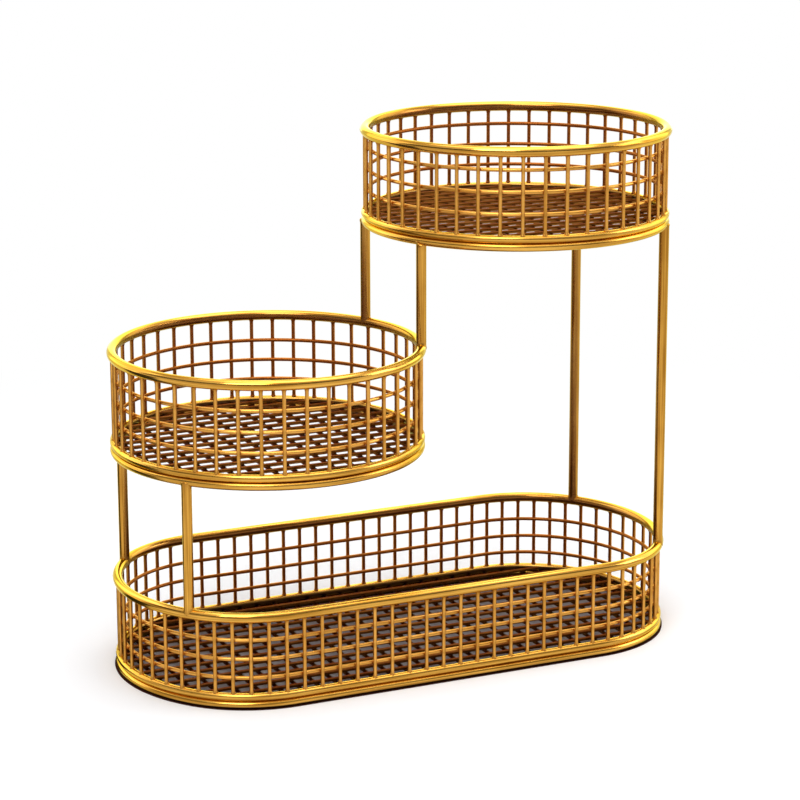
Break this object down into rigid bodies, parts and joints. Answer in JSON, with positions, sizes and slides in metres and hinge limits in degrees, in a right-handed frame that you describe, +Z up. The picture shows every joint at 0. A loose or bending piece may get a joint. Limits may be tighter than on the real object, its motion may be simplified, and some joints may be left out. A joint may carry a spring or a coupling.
{
  "type": "tiered wire fruit basket",
  "caption": "Free-standing tiered fruit stand of polished brass-coloured wire: a long open basket below, with round baskets over each end at different heights on slim posts.",
  "frame": {"origin": "centre of the long basket on the table, at the underside of its base band", "axes": "+Z up, +X along the long basket towards the end under the highest basket, +Y to the back"},
  "size_m": [0.4646, 0.248, 0.4154],
  "materials": {
    "rim_rod": "polished brass plating",
    "base_rod": "polished brass plating",
    "post_rod": "polished brass plating",
    "wire": "polished brass plating"
  },
  "bodies": {
    "root": {"lower_rim": "rim_rod", "lower_base_lower_bead": "base_rod", "lower_base_upper_bead": "base_rod", "lower_low_hoop": "wire", "lower_mid_hoop": "wire", "lower_high_hoop": "wire", "lower_wall_uprights": "wire", "lower_floor_cross_wires": "wire", "lower_floor_long_wires": "wire", "middle_rim": "rim_rod", "middle_base_lower_bead": "base_rod", "middle_base_upper_bead": "base_rod", "middle_low_hoop": "wire", "middle_mid_hoop": "wire", "middle_high_hoop": "wire", "middle_wall_uprights": "wire", "middle_floor_cross_wires": "wire", "middle_floor_long_wires": "wire", "top_rim": "rim_rod", "top_base_lower_bead": "base_rod", "top_base_upper_bead": "base_rod", "top_low_hoop": "wire", "top_mid_hoop": "wire", "top_high_hoop": "wire", "top_wall_uprights": "wire", "top_floor_cross_wires": "wire", "top_floor_long_wires": "wire", "left_back_post": "post_rod", "left_front_post": "post_rod", "centre_back_post": "post_rod", "centre_front_post": "post_rod", "right_back_post": "post_rod", "right_front_post": "post_rod"}
  },
  "joints": []
}
